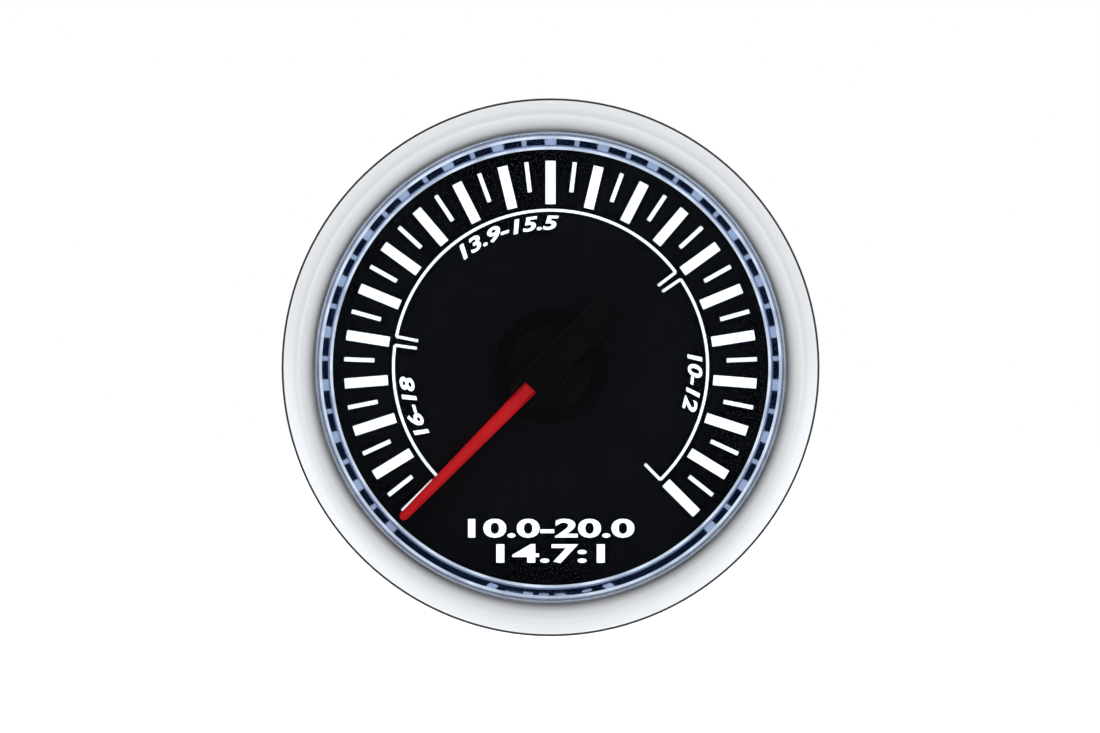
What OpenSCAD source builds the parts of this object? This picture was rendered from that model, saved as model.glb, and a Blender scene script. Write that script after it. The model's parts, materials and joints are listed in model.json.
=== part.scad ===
// Lit air fuel ratio gauge for a 52 mm panel hole, drawn as its separate pieces.
// Each piece is drawn with the gauge's axis along +Z, the driver on the +Z side and 12 o'clock
// along +Y, and the whole is then turned so that the dial faces -Y and 12 o'clock is +Z.
// The origin is on the axis, in the plane of the panel that the flange rests on.
// Dial angles are counted clockwise from 6 o'clock, as the driver sees them.

/* [Body] */
// Diameter of the can behind the panel
body_d = 52; // [51:0.5:56]
// Wall of the can
body_wall = 1.4; // [1.2:0.1:1.8]
// Reach of the can with its rear cover behind the panel
body_depth = 34; // [33:0.5:60]
// Width of the ledge in the can that carries the lamp board
ledge_w = 1; // [0.8:0.1:1.2]
// Thickness of the rear cover
cover_t = 2; // [1.6:0.1:3]
// Thickness of the flange that rests on the panel
flange_t = 1.2; // [1:0.1:1.6]
// Wall of the front cup
cup_wall = 1; // [0.8:0.1:1.2]

/* [Bezel] */
// How far the flange stands out past the can
bezel_overhang = 4; // [3.8:0.1:5]
// Height of the bezel in front of the panel
bezel_h = 11.5; // [11:0.1:14]
// Wall of the bezel beside the cup
bezel_wall = 2.15; // [1.8:0.05:2.4]
// Height at which the bezel's side starts to turn in
bezel_side_h = 5; // [3:0.5:7]
// Distance from the bezel's side in to its crown
bezel_crown_w = 2.65; // [2.2:0.05:2.9]
// Height of the straight edge at the bezel's window
bezel_edge_h = 0.7; // [0.3:0.1:1]

/* [Lens] */
// Thickness of the lens
lens_t = 1.8; // [1.5:0.1:2.2]
// Depth of the lens below the bezel's crown
lens_recess = 2.2; // [1.8:0.1:2.6]
// Thickness of the rubber ring under the lens
gasket_t = 0.5; // [0.4:0.1:0.8]

/* [Halo ring] */
// Width of the halo ring that shows round the dial
halo_w = 1.6; // [1.4:0.1:2]
// Width of the lit lip at the foot of the halo ring
halo_lip_w = 0.4; // [0.3:0.05:0.5]
// Width of the lit edge at the top of the halo ring
halo_edge_w = 0.4; // [0.3:0.05:0.5]
// Thickness of the lip over the dial's edge
halo_lip_t = 0.45; // [0.3:0.05:0.6]
// Angle of the mirrored cone from the gauge's axis, in degrees
halo_angle = 25; // [22:1:32]
// Wall of the halo ring above its cone
halo_wall = 0.7; // [0.5:0.05:0.8]

/* [Dial] */
// Thickness of the printed film
face_t = 0.3; // [0.2:0.05:0.5]
// Thickness of the lit guide under the film
guide_t = 1; // [0.8:0.1:1.4]
// Gap between the marks and the edge of the dial
mark_edge_gap = 1.25; // [0.8:0.05:1.6]
// Length of a wide mark
wide_mark_len = 4.8; // [4:0.1:5.2]
// Width of a wide mark
wide_mark_w = 1.12; // [0.8:0.02:1.4]
// Length of a narrow mark
narrow_mark_len = 3.35; // [2.5:0.05:4]
// Width of a narrow mark
narrow_mark_w = 0.46; // [0.3:0.02:0.6]
// Width of the thin arcs and their end lines
line_w = 0.32; // [0.2:0.02:0.4]
// Gap between the wide marks and the thin arcs
arc_gap = 0.5; // [0.4:0.05:1]
// Length of the end lines of the arcs
end_line_len = 2.45; // [1.5:0.05:3]
// Hole in the dial for the pointer's shaft
dial_hole_d = 4.8; // [4:0.2:6]

/* [Pointer] */
// Gap between the pointer's tip and the edge of the dial
tip_gap = 0.6; // [0.4:0.05:1]
// Distance from the axis to where the blade comes out of the cap
blade_root_r = 3.1; // [2.6:0.1:3.6]
// Width of the blade at its root
blade_root_w = 1.74; // [1.4:0.02:2]
// Width of the blade at its tip
blade_tip_w = 1; // [0.8:0.02:1.2]
// Thickness of the blade
blade_t = 1.3; // [1:0.1:1.5]
// Width of the flats along the blade's upper edges
blade_flat_w = 0.3; // [0.2:0.02:0.4]
// Gap between the dial and the pointer's hub
hub_gap = 0.5; // [0.4:0.1:0.8]
// Diameter of the pointer's hub at its foot
hub_d = 12.6; // [11:0.2:14]
// Diameter of the flat on top of the hub
hub_top_d = 9.2; // [8.6:0.2:10]
// Height of the hub
hub_h = 1.4; // [1.2:0.1:1.6]
// Width of the cap bar
cap_w = 3.6; // [3:0.1:4.2]
// Height of the cap bar
cap_h = 1.5; // [1.2:0.1:1.8]
// Reach of the cap bar along the blade
cap_front = 5.1; // [4.6:0.1:5.6]
// Reach of the cap bar's tail
cap_tail = 9.7; // [8:0.1:11]

/* [Lamp unit] */
// Height of the light box between the guide and the lamp board
light_box_h = 7.2; // [6:0.1:8]
// Wall of the light box
light_box_wall = 1.2; // [1:0.1:1.5]
// Inside diameter of the light box's middle tube
middle_tube_d = 12; // [11:0.5:13]
// Thickness of both circuit boards
board_t = 1.6; // [1.2:0.1:1.8]
// Length of a dial lamp
lamp_l = 3.5; // [3:0.1:4]
// Width of a dial lamp
lamp_w = 2.8; // [2.4:0.1:3.2]
// Height of a dial lamp
lamp_h = 1.9; // [1.2:0.1:2.4]

/* [Motor] */
// Height of the motor
motor_h = 9; // [8.6:0.1:9.4]
// Wall of the motor's two covers
motor_wall = 0.9; // [0.8:0.05:1.1]
// Gap between the motor's foot and the can
motor_margin = 2.02; // [1.6:0.02:3]
// Diameter of the output shaft
shaft_d = 1.5; // [1.2:0.05:1.8]
// Diameter of the rotor's magnet
magnet_d = 4; // [3.6:0.1:4.4]
// Thickness of the stator plate
stator_t = 1; // [0.8:0.05:1.2]
// Diameter of a coil
coil_d = 4.4; // [4:0.1:4.6]

/* [Main board] */
// Gap between the motor and the tallest part on the main board
board_gap = 1.6; // [1:0.1:2.5]
// Diameter of a filter capacitor
capacitor_d = 6.3; // [5:0.1:6.6]

/* [Sockets] */
// Width inside the power socket
power_socket_w = 11; // [10.6:0.1:12]
// Width inside the sensor socket
sensor_socket_w = 8.5; // [8:0.1:10]
// Height inside both sockets
socket_gap_h = 5.6; // [5.2:0.1:6]
// Wall of the sockets
socket_wall = 1; // [0.8:0.05:1.2]
// How far the sockets stand out behind the rear cover
socket_reach = 3; // [2:0.1:4]
// Free depth in front of the pins
socket_free_depth = 4.7; // [4.4:0.1:5.5]
// Distance between two pins
pin_pitch = 2.5; // [2.2:0.1:2.54]
// Diameter of a socket pin
pin_d = 0.64; // [0.5:0.02:0.8]

/* [Studs and screws] */
// Diameter of the mounting studs
stud_d = 4; // [3:0.5:5]
// Length of the mounting studs behind the cover
stud_len = 18; // [10:1:30]
// Distance from the can's ledge in to the middle of the mounting studs
stud_inset = 6.6; // [5.5:0.1:7]
// Diameter of the small screws
screw_d = 2; // [1.6:0.1:2.2]
// Diameter of the small screws' heads
screw_head_d = 3.4; // [3:0.1:3.6]
// Height of the small screws' heads
screw_head_h = 1.2; // [0.8:0.1:1.4]

/* [Hidden] */
$fn = 96;
// Gap between fixed pieces that are pressed or set together
fit_gap = 0.05;
// Gap round a piece that drops into its place
drop_gap = 0.2;
// Running gap of the small bearings
run_gap = 0.03;
// Overrun of every cut
cut = 0.2;

// Dial layout, in degrees and counts
sweep = 270;
first_mark_angle = 45;
wide_marks = 21;
mark_step = sweep / (wide_marks - 1);
arc_ends = [[first_mark_angle, 98.1], [101.3, 232.8], [235.9, 315.7]];
end_lines = [98.1, 101.3, 232.8, 235.9, 315.7];
// How far the pointer rests below the first mark, in degrees
pointer_lag_angle = 0.4;

// Gear train of the motor, in teeth
output_teeth = 120;
middle_pinion_teeth = 8;
middle_teeth = 72;
rotor_teeth = 6;
// Tooth height above and below the pitch circle, and tooth widths, as shares of module and pitch
wheel_tooth_shares = [0.9, 1, 0.46, 0.2, 0.62];
pinion_tooth_shares = [0.7, 1.15, 0.4, 0.16, 0.36];

// Radii from the panel hole outwards, then from the bezel inwards
can_r = body_d / 2;
can_in = can_r - body_wall;
can_low_in = can_in - ledge_w;
flange_r = can_r + bezel_overhang;
neck_wall = 0.7;
neck_r = can_in + neck_wall;
flange_relief_h = 0.2;
flange_edge_w = 0.15;
bezel_r = flange_r - flange_edge_w;
bezel_bore_r = bezel_r - bezel_wall;
cup_slip = 0.1;
cup_r = bezel_bore_r - cup_slip;
cup_in = cup_r - cup_wall;
halo_r = cup_in - drop_gap;
halo_top_r = halo_r - halo_wall;
window_lead = 0.1;
window_r = halo_top_r + window_lead;
dial_r = halo_top_r - halo_w;
dial_tuck = 0.2;
dial_face_r = dial_r + dial_tuck;
lens_r = cup_r - drop_gap;
gasket_in = cup_in + fit_gap;
guide_r = cup_in - drop_gap;

// Heights from the panel forwards
guide_z = flange_t;
dial_z = guide_z + guide_t;
dial_top = dial_z + face_t;
lens_top = bezel_h - lens_recess;
lens_z = lens_top - lens_t;
cup_top = lens_z - gasket_t;
halo_top_z = lens_z - fit_gap;
halo_lip_z = dial_top + fit_gap;
halo_cone_z = halo_lip_z + halo_lip_t;
halo_cone_w = halo_w - halo_lip_w - halo_edge_w;
halo_edge_z = halo_cone_z + halo_cone_w / tan(halo_angle);
halo_edge_rise = halo_edge_w / 2;
bezel_lip_z = lens_top + fit_gap;
bezel_edge_z = bezel_lip_z + bezel_edge_h;
bezel_brow_angle = 100;
arc_steps = 10;

// Marks on the dial
mark_out = dial_r - mark_edge_gap;
wide_mark_in = mark_out - wide_mark_len;
narrow_mark_in = mark_out - narrow_mark_len;
arc_r = wide_mark_in - arc_gap - line_w / 2;

// Lamp unit, from the guide backwards
lamp_board_z = guide_z - light_box_h;
lamp_board_low = lamp_board_z - board_t;
lit_r = can_in - drop_gap;
light_box_in = lit_r - light_box_wall;
lamp_ring_r = (mark_out + wide_mark_in) / 2;
lamps = 12;
lamp_angle = 15;
pointer_lamps = 3;
pointer_lamp_l = 2;
pointer_lamp_w = 1.25;
pointer_lamp_h = 0.8;
middle_tube_wall = 1;
boss_r = 1.8;
boss_sink = 0.3;
box_boss_r = can_low_in - screw_head_d / 2 - drop_gap;
screw_angles = [90, 210, 330];
box_bite_share = 0.69;
box_bite = light_box_h * box_bite_share;
screw_play = 0.1;
// Length and width of the cross slot, as shares of the screw head
screw_slot_shares = [0.6, 0.13];
shaft_way_r = 1.5;

// Motor, hung under the lamp board
motor_top = lamp_board_low;
motor_low = motor_top - motor_h;
motor_in_top = motor_top - motor_wall;
motor_in_low = motor_low + motor_wall;
motor_split_share = 0.47;
motor_split = motor_top - motor_h * motor_split_share;
motor_room = 0.5;
motor_corner_r = 6;
shaft_r = shaft_d / 2;
magnet_r = magnet_d / 2;
magnet_gap = 0.3;
stator_hole_r = magnet_r + magnet_gap;
stator_ring_w = 1.4;
stator_ring_r = stator_hole_r + stator_ring_w;
train_teeth = output_teeth + middle_pinion_teeth + middle_teeth + rotor_teeth;
train_room = can_low_in - motor_margin - motor_wall - motor_room - stator_ring_r;
gear_module = 2 * train_room / train_teeth;
output_r = gear_module * output_teeth / 2;
middle_r = gear_module * middle_teeth / 2;
output_tip = output_r + gear_module * wheel_tooth_shares[0];
middle_tip = middle_r + gear_module * wheel_tooth_shares[0];
middle_y = -gear_module * (output_teeth + middle_pinion_teeth) / 2;
rotor_y = middle_y - gear_module * (middle_teeth + rotor_teeth) / 2;
wheel_t = 0.6;
output_wheel_z = motor_in_top - motor_room - wheel_t;
pinion_over = 0.1;
middle_wheel_drop = 0.9;
middle_wheel_z = output_wheel_z - middle_wheel_drop - wheel_t;
output_hub_r = 1.6;
output_hub_low = 0.5;
middle_hub_r = 0.42;
middle_arbor_r = 0.25;
rotor_arbor_r = 0.2;
coil_r = coil_d / 2;
coil_x = middle_tip + motor_room + coil_r;
stator_z = motor_in_low + coil_r + drop_gap - stator_t / 2;
magnet_h = 3.2;
magnet_collar_r = 0.8;
magnet_collar_h = 0.4;
leg_w = 2;
arm_w = 2.4;
yoke_clear = 1.4;
yoke_y = shaft_r + yoke_clear;
yoke_w = 2.4;
bobbin_low = rotor_y + arm_w / 2 + drop_gap;
bobbin_top = yoke_y - drop_gap;
bobbin_flange_t = 0.6;
bobbin_core_r = 1.45;
coil_tuck = 0.1;
terminal_r = 0.25;
terminal_block_l = 2.85;
terminal_block_w = 3.4;
terminal_in = 0.2;
terminal_step = 0.9;
terminal_rise_shares = [0.3, 0.78];
terminal_block_h = 2.2;
// The blocks stand beyond the yoke, and their terminals clear of the output wheel
terminal_clear = 0.2;
terminal_ring_r = output_tip + terminal_r + terminal_clear;
terminal_inner_x = coil_x - terminal_in - terminal_step;
terminal_low_y = sqrt(max(0, terminal_ring_r ^ 2 - terminal_inner_x ^ 2));
terminal_block_y = max(bobbin_top + yoke_w + 2 * drop_gap,
    terminal_low_y - terminal_block_l * terminal_rise_shares[1]);
terminal_up = 0.9;
terminal_reach = 1.2;
bearing_wall = 0.6;
bearing_depth = 0.5;
motor_x = coil_x + coil_r + motor_room / 2 + motor_wall;
terminal_corner_room = 2.6;
motor_y_top = motor_wall + max(output_tip + motor_room,
    terminal_block_y + terminal_block_l + terminal_corner_room);
motor_y_low = rotor_y - stator_ring_r - motor_room - motor_wall;

// Pointer, above the dial
hub_z = dial_top + hub_gap;
hub_top = hub_z + hub_h;
hub_foot_h = 0.3;
blade_floor = 0.6;
blade_z = hub_z + blade_floor;
blade_top = blade_z + blade_t;
blade_tip_r = dial_r - tip_gap;
blade_inset = 0.3;
blade_start = shaft_r + blade_inset;
cap_top = hub_top + cap_h;
cap_end_r = 0.6;
shaft_reach_share = 0.8;
shaft_top = hub_z + hub_h * shaft_reach_share;

// Rear cover, main board and what stands on them
cover_in_z = -body_depth + cover_t;
// The posts take a share of the height left between the motor and the cover
post_share = 0.46;
free_h = motor_low - board_t - cover_in_z;
post_h = free_h * post_share;
main_board_low = cover_in_z + post_h;
main_board_z = main_board_low + board_t;
capacitor_h = motor_low - board_gap - main_board_z;
post_bite_share = 0.78;
post_bite = post_h * post_bite_share;
main_board_r = can_low_in - drop_gap;
cover_spigot_h = 1.5;
cover_spigot_w = 0.7;
cover_edge = 0.1;
post_r = 2.2;
post_edge = 1.4;
post_ring_r = main_board_r - post_r - post_edge;
post_angles = [30, 150, 270];
can_boss_r = 2.3;
can_boss_ring_r = can_low_in - can_boss_r + boss_sink;
can_boss_share = 0.9;
can_boss_h = post_h * can_boss_share;
stud_r = stud_d / 2;
stud_x = can_low_in - stud_inset;
stud_collar = 0.4;
stud_collar_r = stud_r + stud_collar;
stud_head_r = stud_r * 2;
stud_head_t = 1.8;
stud_tip = 0.4;
socket_share = 0.36;
socket_y = main_board_r * socket_share;
socket_mouth = -body_depth - socket_reach;
pin_tip_z = socket_mouth + socket_free_depth;
socket_floor_t = 1.3;
pin_up = 0.8;
pin_hole_play = 0.05;
key_w = 3;
key_depth = 4;
power_pins_n = 4;
sensor_pins_n = 3;
link_lamp_gap = 1.3;
link_y = lamp_ring_r - lamp_l / 2 - link_lamp_gap;
link_pins_n = 6;
link_pitch = 2.54;
link_pin_d = 0.64;
link_base_h = 2.5;
link_base_w = 2.5;
link_solder = 0.6;
chip_w = 7;
chip_h = 1.2;
chip_share = -0.13;
chip_y = main_board_r * chip_share;
regulator_l = 6.5;
regulator_w = 6;
regulator_h = 2.3;
// Places on the main board, as shares of its radius
regulator_shares = [0.4, 0.19];
capacitor_shares = [[-0.49, 0.15], [0.47, -0.26]];
small_part = [1.6, 0.8, 0.5];
small_parts_n = 4;
small_part_pitch = 3.5;
small_part_gap = 3.5;

// Turns the gauge so that its dial faces -Y
module stand() { rotate([90, 0, 0]) children(); }

// Angle from +X of a dial angle
function from_x(a) = -90 - a;

// Points of an elliptic arc about a centre, from angle a to angle b
function arc_points(centre, rx, ry, a, b) =
    [for (i = [0:arc_steps]) let (t = a + (b - a) * i / arc_steps)
        [centre[0] + rx * cos(t), centre[1] + ry * sin(t)]];

module ring(outer, inner, h) {
    difference() {
        cylinder(r = outer, h = h);
        translate([0, 0, -cut]) cylinder(r = inner, h = h + 2 * cut);
    }
}

// A plate with round corners, built from squares and circles
module round_plate(x0, x1, y0, y1, r, h) {
    linear_extrude(h) union() {
        translate([x0 + r, y0]) square([x1 - x0 - 2 * r, y1 - y0]);
        translate([x0, y0 + r]) square([x1 - x0, y1 - y0 - 2 * r]);
        for (x = [x0 + r, x1 - r], y = [y0 + r, y1 - r]) translate([x, y]) circle(r = r);
    }
}

// A row of places along X about a middle
module row(count, pitch) {
    for (i = [0:count - 1]) translate([(i - (count - 1) / 2) * pitch, 0, 0]) children();
}

// Small pan head screw with its head's seat at z = 0 and its shank along +Z
module small_screw(shank) {
    slot_l = screw_head_d * screw_slot_shares[0];
    slot_w = screw_head_d * screw_slot_shares[1];
    cylinder(r = screw_d / 2, h = shank);
    difference() {
        translate([0, 0, -screw_head_h]) cylinder(r = screw_head_d / 2, h = screw_head_h);
        for (a = [0, 90]) rotate([0, 0, a]) translate([-slot_l / 2, -slot_w / 2, -screw_head_h - cut])
            cube([slot_l, slot_w, cut + screw_head_h / 2]);
    }
}

// One tooth's outline points, as radius and angle, repeated round the wheel
function gear_points(teeth, shares, step) =
    let (pitch = gear_module * teeth / 2,
        low = pitch - gear_module * shares[1],
        tip = pitch + gear_module * shares[0],
        sides = [[low, -shares[4]], [pitch, -shares[2]], [tip, -shares[3]],
            [tip, shares[3]], [pitch, shares[2]], [low, shares[4]]])
    [for (i = [0:teeth - 1], s = sides) let (a = step * (i + s[1] / 2))
        [s[0] * cos(a), s[0] * sin(a)]];

module gear(teeth, shares, h) {
    linear_extrude(h) polygon(gear_points(teeth, shares, 360 / teeth));
}

// Housing

module bezel() {
    crown_r = bezel_r - bezel_crown_w;
    color("silver") stand() rotate_extrude() polygon(concat(
        [[bezel_bore_r, flange_t + fit_gap], [bezel_r, flange_t + fit_gap]],
        arc_points([crown_r, bezel_side_h], bezel_crown_w, bezel_h - bezel_side_h, 0, 90),
        arc_points([crown_r, bezel_edge_z], crown_r - window_r, bezel_h - bezel_edge_z, bezel_brow_angle,
            180),
        [[window_r, bezel_lip_z], [bezel_bore_r, bezel_lip_z]]));
}

module lens() {
    color([0.1, 0.12, 0.15, 0.4]) stand() translate([0, 0, lens_z])
        cylinder(r = lens_r, h = lens_t);
}

module lens_gasket() {
    color("dimgray") stand() translate([0, 0, cup_top]) ring(lens_r, gasket_in, gasket_t);
}

module front_cup() {
    color([0.08, 0.08, 0.09]) stand() difference() {
        union() {
            ring(flange_r, neck_r + fit_gap, flange_t);
            ring(cup_r, cup_in, cup_top);
        }
        translate([0, 0, -cut]) cylinder(r = can_r + fit_gap, h = flange_relief_h + cut);
    }
}

module body_can() {
    can_low = cover_in_z;
    color([0.1, 0.1, 0.11]) stand() difference() {
        union() {
            difference() {
                union() {
                    translate([0, 0, can_low]) cylinder(r = can_r, h = -can_low);
                    translate([0, 0, can_low]) cylinder(r = neck_r, h = flange_t - can_low);
                }
                translate([0, 0, can_low - cut])
                    cylinder(r = can_low_in, h = flange_t - can_low + 2 * cut);
                translate([0, 0, lamp_board_low]) cylinder(r = can_in, h = flange_t - lamp_board_low + cut);
            }
            for (a = screw_angles) rotate([0, 0, a]) translate([can_boss_ring_r, 0, can_low])
                cylinder(r = can_boss_r, h = can_boss_h);
        }
        for (a = screw_angles) rotate([0, 0, a]) translate([can_boss_ring_r, 0, can_low - cut])
            cylinder(r = screw_d / 2 + fit_gap, h = post_bite + cut);
    }
}

module rear_cover() {
    color([0.13, 0.13, 0.14]) stand() difference() {
        union() {
            translate([0, 0, -body_depth]) cylinder(r = can_r - cover_edge, h = cover_t);
            translate([0, 0, cover_in_z]) {
                difference() {
                    ring(can_low_in - fit_gap, can_low_in - cover_spigot_w, cover_spigot_h);
                    for (a = screw_angles) rotate([0, 0, a]) translate([can_boss_ring_r, 0, -cut])
                        cylinder(r = can_boss_r + drop_gap, h = cover_spigot_h + 2 * cut);
                }
                for (a = post_angles) rotate([0, 0, a]) translate([post_ring_r, 0, 0])
                    cylinder(r = post_r, h = post_h);
            }
        }
        for (a = post_angles) rotate([0, 0, a])
            translate([post_ring_r, 0, main_board_low - post_bite])
                cylinder(r = screw_d / 2 + fit_gap, h = post_bite + cut);
        for (a = screw_angles) rotate([0, 0, a])
            translate([can_boss_ring_r, 0, -body_depth - cut])
                cylinder(r = screw_d / 2 + screw_play, h = cover_t + 2 * cut);
        for (side = [-1, 1]) translate([side * stud_x, 0, -body_depth - cut])
            cylinder(r = stud_collar_r + fit_gap, h = cover_t + 2 * cut);
        for (s = [[power_socket_w, socket_y], [sensor_socket_w, -socket_y]])
            let (w = s[0] + 2 * (socket_wall + drop_gap),
                h = socket_gap_h + 2 * (socket_wall + drop_gap))
            translate([-w / 2, s[1] - h / 2, -body_depth - cut]) cube([w, h, cover_t + 2 * cut]);
    }
}

module rear_cover_screws() {
    color("gainsboro") stand() for (a = screw_angles)
        rotate([0, 0, a]) translate([can_boss_ring_r, 0, -body_depth])
            small_screw(cover_t + post_bite - screw_play);
}

module mounting_studs() {
    color("lightgray") stand() for (side = [-1, 1]) translate([side * stud_x, 0, -body_depth]) {
        translate([0, 0, cover_t]) cylinder(r = stud_head_r, h = stud_head_t, $fn = 6);
        cylinder(r = stud_collar_r, h = cover_t);
        translate([0, 0, stud_tip - stud_len]) cylinder(r = stud_r, h = stud_len - stud_tip);
        translate([0, 0, -stud_len]) cylinder(r1 = stud_r - stud_tip, r2 = stud_r, h = stud_tip);
    }
}

// Dial

module halo_ring() {
    foot_in = dial_face_r + window_lead;
    color([0.75, 0.8, 0.95]) stand() rotate_extrude() polygon([
        [foot_in, dial_z], [halo_r, dial_z], [halo_r, halo_top_z], [halo_top_r, halo_top_z],
        [halo_top_r, halo_edge_z + halo_edge_rise], [halo_top_r - halo_edge_w, halo_edge_z],
        [dial_r + halo_lip_w, halo_cone_z], [dial_r, halo_cone_z], [dial_r, halo_lip_z],
        [foot_in, halo_lip_z]]);
}

// Window for a straight mark on the dial
module mark_window(a, inner, len, w) {
    rotate([0, 0, from_x(a)]) translate([inner, -w / 2, -cut])
        cube([len, w, face_t + 2 * cut]);
}

module dial_face() {
    color([0.02, 0.03, 0.05]) stand() translate([0, 0, dial_z]) difference() {
        ring(dial_face_r, dial_hole_d / 2, face_t);
        for (i = [0:wide_marks - 1])
            mark_window(first_mark_angle + i * mark_step, wide_mark_in, wide_mark_len, wide_mark_w);
        for (i = [0:wide_marks - 2])
            mark_window(first_mark_angle + (i + 0.5) * mark_step, narrow_mark_in, narrow_mark_len,
                narrow_mark_w);
        for (a = arc_ends) rotate([0, 0, from_x(a[1])]) translate([0, 0, -cut])
            rotate_extrude(angle = a[1] - a[0])
                translate([arc_r - line_w / 2, 0]) square([line_w, face_t + 2 * cut]);
        for (a = end_lines) mark_window(a, arc_r - end_line_len, end_line_len, line_w);
    }
}

module light_guide() {
    color("white") stand() translate([0, 0, guide_z]) ring(guide_r, dial_hole_d / 2, guide_t);
}

module light_box() {
    tube_r = middle_tube_d / 2;
    color("whitesmoke") stand() translate([0, 0, lamp_board_z]) difference() {
        union() {
            ring(lit_r, light_box_in, light_box_h - fit_gap);
            ring(tube_r + middle_tube_wall, tube_r, light_box_h - fit_gap);
            for (a = screw_angles) rotate([0, 0, a]) translate([box_boss_r, 0, 0])
                cylinder(r = boss_r, h = light_box_h - fit_gap);
            for (a = screw_angles) rotate([0, 0, a])
                translate([tube_r + middle_tube_wall / 2, -middle_tube_wall / 2, 0])
                    cube([box_boss_r - tube_r - boss_r, middle_tube_wall, middle_tube_wall]);
        }
        for (a = screw_angles) rotate([0, 0, a]) translate([box_boss_r, 0, -cut])
            cylinder(r = screw_d / 2 + fit_gap, h = box_bite + cut);
    }
}

module lamp_board() {
    color("seagreen") stand() translate([0, 0, lamp_board_low]) difference() {
        cylinder(r = lit_r, h = board_t);
        translate([0, 0, -cut]) cylinder(r = shaft_way_r, h = board_t + 2 * cut);
        for (a = screw_angles) rotate([0, 0, a]) translate([box_boss_r, 0, -cut])
            cylinder(r = screw_d / 2 + screw_play, h = board_t + 2 * cut);
        translate([0, 0, -cut]) at_terminals()
            cylinder(r = terminal_r + pin_hole_play, h = board_t + 2 * cut);
        translate([0, link_y, -cut]) row(link_pins_n, link_pitch)
            cylinder(r = link_pin_d / 2 + pin_hole_play, h = board_t + 2 * cut);
    }
}

module dial_lamps() {
    color("lightyellow") stand() for (i = [0:lamps - 1])
        rotate([0, 0, lamp_angle + i * 360 / lamps])
            translate([lamp_ring_r - lamp_l / 2, -lamp_w / 2, lamp_board_z])
                cube([lamp_l, lamp_w, lamp_h]);
}

module pointer_lamps() {
    at_r = (shaft_way_r + middle_tube_d / 2) / 2;
    color("lightcoral") stand() for (i = [0:pointer_lamps - 1])
        rotate([0, 0, i * 360 / pointer_lamps])
            translate([at_r - pointer_lamp_l / 2, -pointer_lamp_w / 2, lamp_board_z])
                cube([pointer_lamp_l, pointer_lamp_w, pointer_lamp_h]);
}

module lamp_board_screws() {
    color("gainsboro") stand() for (a = screw_angles)
        rotate([0, 0, a]) translate([box_boss_r, 0, lamp_board_low])
            small_screw(board_t + box_bite - screw_play);
}

// Pointer

// Lays out a piece of the pointer along +X at its rest angle
module along_pointer() { rotate([0, 0, from_x(first_mark_angle - pointer_lag_angle)]) children(); }

module blade_plan(slack) {
    tip_x = blade_tip_r - blade_tip_w / 2;
    polygon([[blade_start - slack, -blade_root_w / 2 - slack],
        [blade_start - slack, blade_root_w / 2 + slack],
        [blade_root_r, blade_root_w / 2 + slack], [tip_x, blade_tip_w / 2 + slack],
        [tip_x, -blade_tip_w / 2 - slack], [blade_root_r, -blade_root_w / 2 - slack]]);
}

module pointer_blade() {
    tip_x = blade_tip_r - blade_tip_w / 2;
    taper = atan((blade_root_w - blade_tip_w) / 2 / (tip_x - blade_root_r));
    color("red") stand() along_pointer() translate([0, 0, blade_z]) difference() {
        linear_extrude(blade_t) union() {
            blade_plan(0);
            translate([tip_x, 0]) circle(d = blade_tip_w);
        }
        for (side = [-1, 1])
            translate([blade_root_r, side * (blade_root_w / 2 - blade_flat_w), blade_t])
                rotate([0, 0, -side * taper]) rotate([-side * 45, 0, 0])
                    translate([-blade_root_r, side > 0 ? 0 : -blade_t, 0])
                        cube([blade_tip_r, blade_t, blade_t]);
    }
}

module pointer_hub() {
    foot_r = hub_d / 2;
    color([0.05, 0.05, 0.05]) stand() along_pointer() difference() {
        rotate_extrude() polygon([[0, hub_z], [foot_r, hub_z], [foot_r, hub_z + hub_foot_h],
            [hub_top_d / 2, hub_top], [0, hub_top]]);
        translate([0, 0, hub_z - cut])
            cylinder(r = shaft_r + fit_gap, h = shaft_top + fit_gap - hub_z + cut);
        translate([0, 0, blade_z]) linear_extrude(blade_t + cut) blade_plan(fit_gap);
    }
}

module pointer_cap() {
    color([0.06, 0.06, 0.06]) stand() along_pointer() difference() {
        translate([0, 0, hub_top]) round_plate(-cap_tail, cap_front, -cap_w / 2, cap_w / 2,
            cap_end_r, cap_h);
        translate([0, 0, hub_top - cut]) linear_extrude(blade_top + fit_gap - hub_top + cut)
            blade_plan(fit_gap);
        translate([blade_root_r, -blade_root_w / 2 - fit_gap, hub_top - cut])
            cube([cap_front, blade_root_w + 2 * fit_gap, cap_h + 2 * cut]);
    }
}

// Motor

module output_shaft() {
    shaft_low = motor_in_low - bearing_depth + fit_gap;
    color("lightsteelblue") stand() translate([0, 0, shaft_low])
        cylinder(r = shaft_r, h = shaft_top - shaft_low);
}

module output_wheel() {
    color("ivory") stand() along_pointer_train() difference() {
        union() {
            translate([0, 0, output_wheel_z]) gear(output_teeth, wheel_tooth_shares, wheel_t);
            translate([0, 0, output_wheel_z - output_hub_low])
                cylinder(r = output_hub_r, h = wheel_t + output_hub_low + motor_room / 2);
        }
        translate([0, 0, output_wheel_z - output_hub_low - cut])
            cylinder(r = shaft_r + fit_gap, h = motor_h);
    }
}

// Sets a tooth of the output wheel on the line to the middle wheel
module along_pointer_train() { rotate([0, 0, -90]) children(); }

// Sets a piece on the middle wheel's or the rotor's axis
module at_middle() { translate([0, middle_y, 0]) children(); }
module at_rotor() { translate([0, rotor_y, 0]) children(); }

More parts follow.
